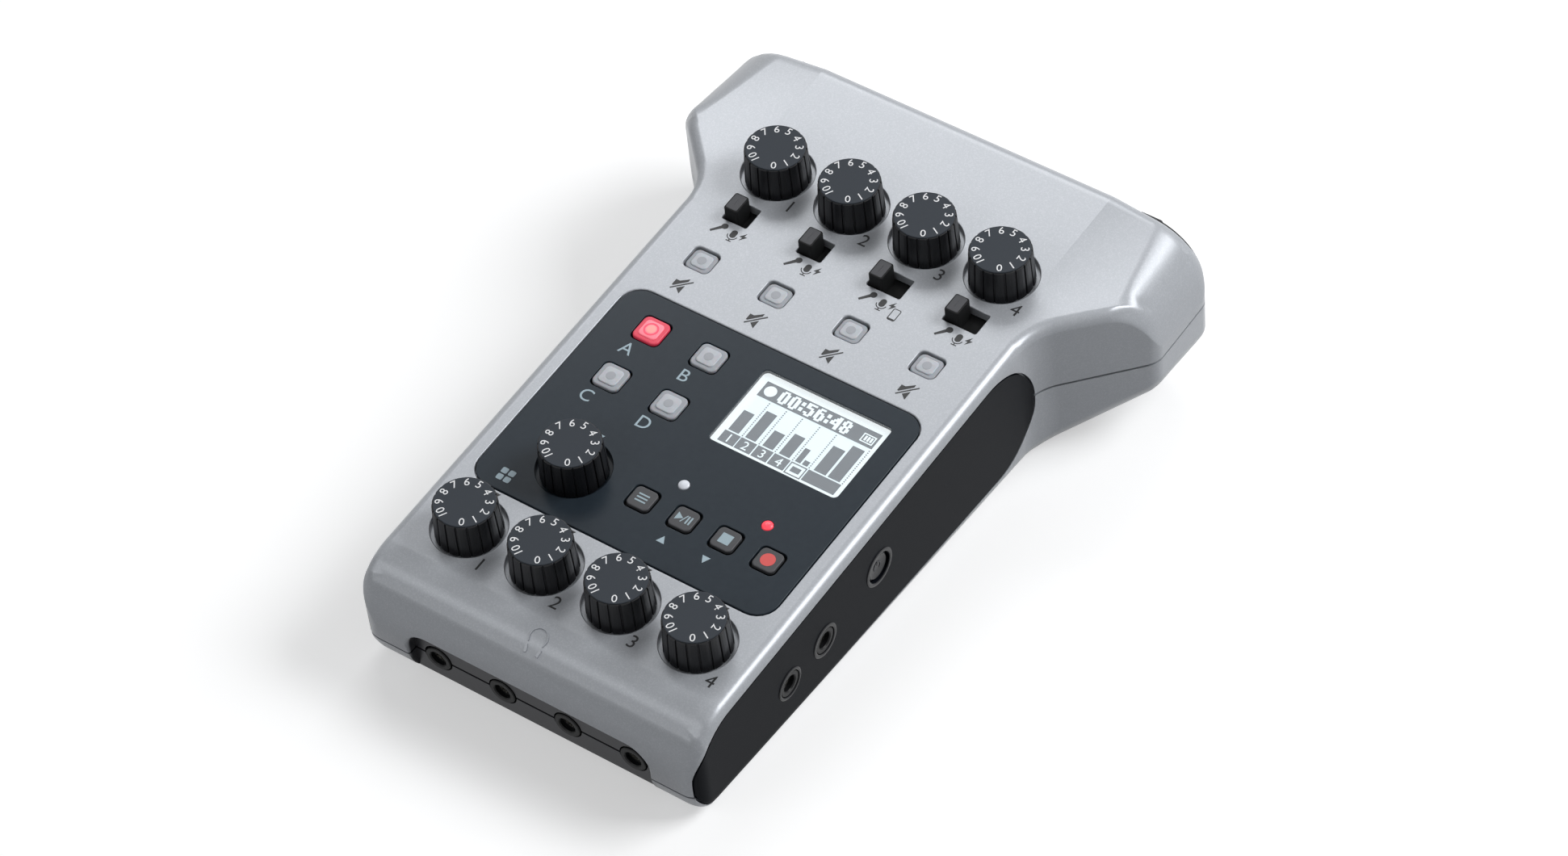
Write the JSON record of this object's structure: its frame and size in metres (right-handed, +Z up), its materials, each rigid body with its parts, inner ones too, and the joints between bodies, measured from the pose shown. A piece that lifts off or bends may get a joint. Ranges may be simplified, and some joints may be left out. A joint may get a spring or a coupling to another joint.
{
  "type": "podcast recorder",
  "caption": "Portable podcast recorder: wedge case with flared head for microphone sockets, gain and headphone knobs, mute buttons, sound pads, display and transport keys",
  "frame": {"origin": "centre of the bounding box's base, on the surface that the feet stand on", "axes": "+X to the user's right, +Y towards the microphone sockets, +Z up; the deck slopes up towards +Y by 5.93 degrees"},
  "size_m": [0.1124, 0.1584, 0.0459],
  "materials": {
    "battery_sleeve": "printed steel sleeve, left plain",
    "black_moulding": "black moulded plastic",
    "circuit_board": "green board with its black and grey components",
    "clear_rubber": "frosted translucent silicone",
    "display_frame": "white backlit display",
    "display_glass": "clear acrylic window",
    "foot_rubber": "black rubber",
    "key_plastic": "dark grey moulded keys",
    "knob_plastic": "black soft-touch plastic",
    "lit_rubber": "frosted silicone lit red from below",
    "painted_silver": "satin silver paint on moulded plastic",
    "panel_plastic": "dark slate plate with a soft gloss",
    "plated_steel": "nickel-plated steel",
    "red_lens": "red light pipe",
    "socket_black": "black socket moulding",
    "white_lens": "milky light pipe"
  },
  "bodies": {
    "case": {"back_left_foot": "foot_rubber", "back_right_foot": "foot_rubber", "battery_1": "battery_sleeve", "battery_2": "battery_sleeve", "battery_bridge_contact": "plated_steel", "battery_terminal_strip": "plated_steel", "bottom_shell": "painted_silver", "card_socket": "plated_steel", "control_panel": "panel_plastic", "front_left_foot": "foot_rubber", "front_right_foot": "foot_rubber", "headphone_board": "circuit_board", "headphone_jack_1": "socket_black", "headphone_jack_2": "socket_black", "headphone_jack_3": "socket_black", "headphone_jack_4": "socket_black", "input_board": "circuit_board", "lcd_module": "display_frame", "lcd_window": "display_glass", "left_side_panel": "black_moulding", "line_out_jack": "socket_black", "main_board": "circuit_board", "record_light_pipe": "red_lens", "right_side_panel": "black_moulding", "smartphone_jack": "socket_black", "status_light_pipe": "white_lens", "top_shell": "painted_silver", "usb_data_port": "plated_steel", "usb_power_port": "plated_steel", "xlr_input_1": "socket_black", "xlr_input_2": "socket_black", "xlr_input_3": "socket_black", "xlr_input_4": "socket_black"},
    "input_gain_knob_1": {"input_gain_knob_1": "knob_plastic"},
    "headphone_volume_knob_1": {"headphone_volume_knob_1": "knob_plastic"},
    "input_gain_knob_2": {"input_gain_knob_2": "knob_plastic"},
    "headphone_volume_knob_2": {"headphone_volume_knob_2": "knob_plastic"},
    "input_gain_knob_3": {"input_gain_knob_3": "knob_plastic"},
    "headphone_volume_knob_3": {"headphone_volume_knob_3": "knob_plastic"},
    "input_gain_knob_4": {"input_gain_knob_4": "knob_plastic"},
    "headphone_volume_knob_4": {"headphone_volume_knob_4": "knob_plastic"},
    "sound_pad_knob": {"sound_pad_knob": "knob_plastic"},
    "input_switch_cap_1": {"input_switch_cap_1": "black_moulding"},
    "input_switch_cap_2": {"input_switch_cap_2": "black_moulding"},
    "input_switch_cap_3": {"input_switch_cap_3": "black_moulding"},
    "input_switch_cap_4": {"input_switch_cap_4": "black_moulding"},
    "mute_button_1": {"mute_button_1": "clear_rubber"},
    "mute_button_2": {"mute_button_2": "clear_rubber"},
    "mute_button_3": {"mute_button_3": "clear_rubber"},
    "mute_button_4": {"mute_button_4": "clear_rubber"},
    "sound_pad_a": {"sound_pad_a": "lit_rubber"},
    "sound_pad_b": {"sound_pad_b": "clear_rubber"},
    "sound_pad_c": {"sound_pad_c": "clear_rubber"},
    "sound_pad_d": {"sound_pad_d": "clear_rubber"},
    "menu_key": {"menu_key": "key_plastic"},
    "play_pause_key": {"play_pause_key": "key_plastic"},
    "stop_key": {"stop_key": "key_plastic"},
    "record_key": {"record_key": "key_plastic"},
    "power_button": {"power_button": "black_moulding"},
    "battery_cover": {"battery_cover": "painted_silver"}
  },
  "joints": [
    {"name": "input_gain_turn_1", "type": "hinge", "parent": "case", "child": "input_gain_knob_1", "pos_m": [-0.0264, 0.04385, 0.03779], "axis": [0, -0.1033, 0.9946], "range_deg": [-150, 150]},
    {"name": "headphone_volume_turn_1", "type": "hinge", "parent": "case", "child": "headphone_volume_knob_1", "pos_m": [-0.0264, -0.0598, 0.02702], "axis": [0, -0.1033, 0.9946], "range_deg": [-150, 150]},
    {"name": "input_gain_turn_2", "type": "hinge", "parent": "case", "child": "input_gain_knob_2", "pos_m": [-0.0088, 0.04385, 0.03779], "axis": [0, -0.1033, 0.9946], "range_deg": [-150, 150]},
    {"name": "headphone_volume_turn_2", "type": "hinge", "parent": "case", "child": "headphone_volume_knob_2", "pos_m": [-0.0088, -0.0598, 0.02702], "axis": [0, -0.1033, 0.9946], "range_deg": [-150, 150]},
    {"name": "input_gain_turn_3", "type": "hinge", "parent": "case", "child": "input_gain_knob_3", "pos_m": [0.0088, 0.04385, 0.03779], "axis": [0, -0.1033, 0.9946], "range_deg": [-150, 150]},
    {"name": "headphone_volume_turn_3", "type": "hinge", "parent": "case", "child": "headphone_volume_knob_3", "pos_m": [0.0088, -0.0598, 0.02702], "axis": [0, -0.1033, 0.9946], "range_deg": [-150, 150]},
    {"name": "input_gain_turn_4", "type": "hinge", "parent": "case", "child": "input_gain_knob_4", "pos_m": [0.0264, 0.04385, 0.03779], "axis": [0, -0.1033, 0.9946], "range_deg": [-150, 150]},
    {"name": "headphone_volume_turn_4", "type": "hinge", "parent": "case", "child": "headphone_volume_knob_4", "pos_m": [0.0264, -0.0598, 0.02702], "axis": [0, -0.1033, 0.9946], "range_deg": [-150, 150]},
    {"name": "sound_pad_turn", "type": "hinge", "parent": "case", "child": "sound_pad_knob", "pos_m": [-0.0176, -0.03801, 0.02929], "axis": [0, -0.1033, 0.9946], "range_deg": [-150, 150]},
    {"name": "input_switch_slide_1", "type": "slide", "parent": "case", "child": "input_switch_cap_1", "axis": [1, 0, 0], "range_m": [0, 0.002]},
    {"name": "input_switch_slide_2", "type": "slide", "parent": "case", "child": "input_switch_cap_2", "axis": [1, 0, 0], "range_m": [0, 0.002]},
    {"name": "input_switch_slide_3", "type": "slide", "parent": "case", "child": "input_switch_cap_3", "axis": [1, 0, 0], "range_m": [0, 0.004]},
    {"name": "input_switch_slide_4", "type": "slide", "parent": "case", "child": "input_switch_cap_4", "axis": [1, 0, 0], "range_m": [0, 0.004]},
    {"name": "mute_button_1_press", "type": "slide", "parent": "case", "child": "mute_button_1", "axis": [0, 0.1033, -0.9946], "range_m": [0, 0.0004], "stiffness_N_per_m": 600, "springref_m": -0.0004},
    {"name": "mute_button_2_press", "type": "slide", "parent": "case", "child": "mute_button_2", "axis": [0, 0.1033, -0.9946], "range_m": [0, 0.0004], "stiffness_N_per_m": 600, "springref_m": -0.0004},
    {"name": "mute_button_3_press", "type": "slide", "parent": "case", "child": "mute_button_3", "axis": [0, 0.1033, -0.9946], "range_m": [0, 0.0004], "stiffness_N_per_m": 600, "springref_m": -0.0004},
    {"name": "mute_button_4_press", "type": "slide", "parent": "case", "child": "mute_button_4", "axis": [0, 0.1033, -0.9946], "range_m": [0, 0.0004], "stiffness_N_per_m": 600, "springref_m": -0.0004},
    {"name": "sound_pad_a_press", "type": "slide", "parent": "case", "child": "sound_pad_a", "axis": [0, 0.1033, -0.9946], "range_m": [0, 0.0004], "stiffness_N_per_m": 600, "springref_m": -0.0004},
    {"name": "sound_pad_b_press", "type": "slide", "parent": "case", "child": "sound_pad_b", "axis": [0, 0.1033, -0.9946], "range_m": [0, 0.0004], "stiffness_N_per_m": 600, "springref_m": -0.0004},
    {"name": "sound_pad_c_press", "type": "slide", "parent": "case", "child": "sound_pad_c", "axis": [0, 0.1033, -0.9946], "range_m": [0, 0.0004], "stiffness_N_per_m": 600, "springref_m": -0.0004},
    {"name": "sound_pad_d_press", "type": "slide", "parent": "case", "child": "sound_pad_d", "axis": [0, 0.1033, -0.9946], "range_m": [0, 0.0004], "stiffness_N_per_m": 600, "springref_m": -0.0004},
    {"name": "menu_key_press", "type": "slide", "parent": "case", "child": "menu_key", "axis": [0, 0.1033, -0.9946], "range_m": [0, 0.0004], "stiffness_N_per_m": 600, "springref_m": -0.0004},
    {"name": "play_pause_key_press", "type": "slide", "parent": "case", "child": "play_pause_key", "axis": [0, 0.1033, -0.9946], "range_m": [0, 0.0004], "stiffness_N_per_m": 600, "springref_m": -0.0004},
    {"name": "stop_key_press", "type": "slide", "parent": "case", "child": "stop_key", "axis": [0, 0.1033, -0.9946], "range_m": [0, 0.0004], "stiffness_N_per_m": 600, "springref_m": -0.0004},
    {"name": "record_key_press", "type": "slide", "parent": "case", "child": "record_key", "axis": [0, 0.1033, -0.9946], "range_m": [0, 0.0004], "stiffness_N_per_m": 600, "springref_m": -0.0004},
    {"name": "power_button_press", "type": "slide", "parent": "case", "child": "power_button", "axis": [-1, 0, 0], "range_m": [0, 0.0004], "stiffness_N_per_m": 600, "springref_m": -0.0004},
    {"name": "battery_cover_hinge", "type": "hinge", "parent": "case", "child": "battery_cover", "pos_m": [0, -0.01651, 0.0008], "axis": [-1, 0, 0], "range_deg": [0, 85]}
  ]
}
